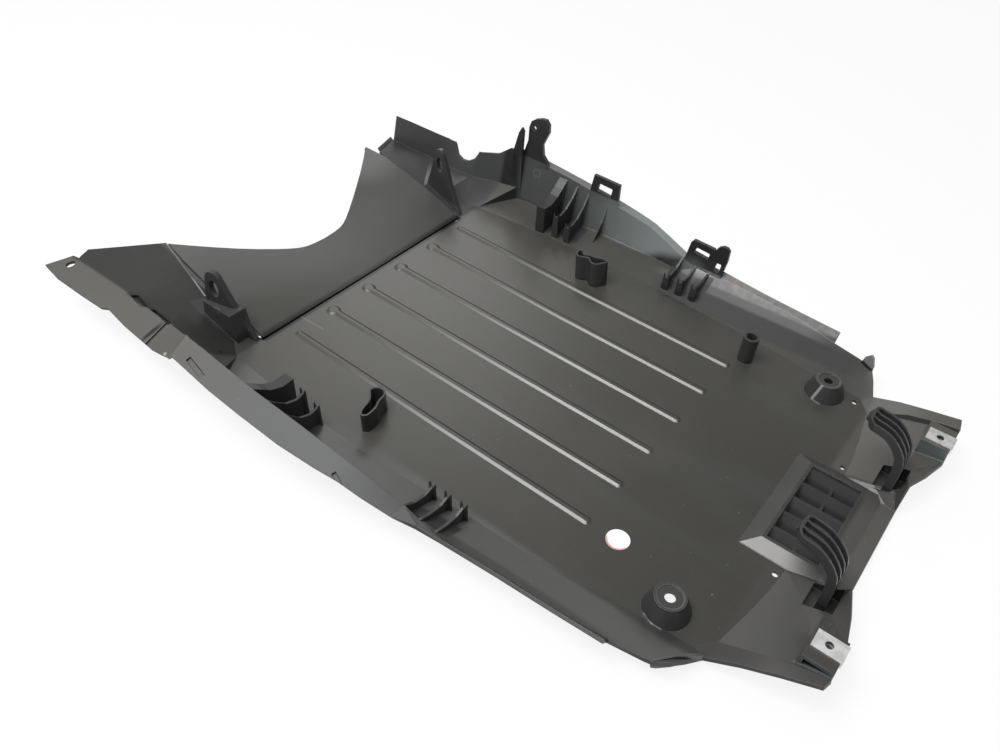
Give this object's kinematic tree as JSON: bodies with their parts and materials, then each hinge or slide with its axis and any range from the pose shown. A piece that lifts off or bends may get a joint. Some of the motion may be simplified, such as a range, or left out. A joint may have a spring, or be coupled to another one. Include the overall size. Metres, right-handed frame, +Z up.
{
  "type": "motorcycle belly pan",
  "caption": "Dark plastic under-engine belly pan with a ribbed tray floor, flanged side walls, forward wings, a separate front deflector and a louvred rear vent.",
  "frame": {"origin": "middle of the part's bounding box, at its lowest level", "axes": "+X runs to the rear end with the vent, +Y to the side with the upright lug and loops, +Z up out of the tray"},
  "size_m": [0.7554, 0.4904, 0.1172],
  "materials": {
    "pan_plastic": "satin black injection moulding with fine grain and dust",
    "deflector_plastic": "satin black injection moulding, slightly lighter",
    "zinc": "bright zinc plate, lightly scuffed",
    "label_film": "white film label"
  },
  "bodies": {
    "root": {"pan": "pan_plastic", "front_deflector": "deflector_plastic", "clip_nut_left": "zinc", "clip_nut_right": "zinc", "round_label": "label_film"}
  },
  "joints": []
}
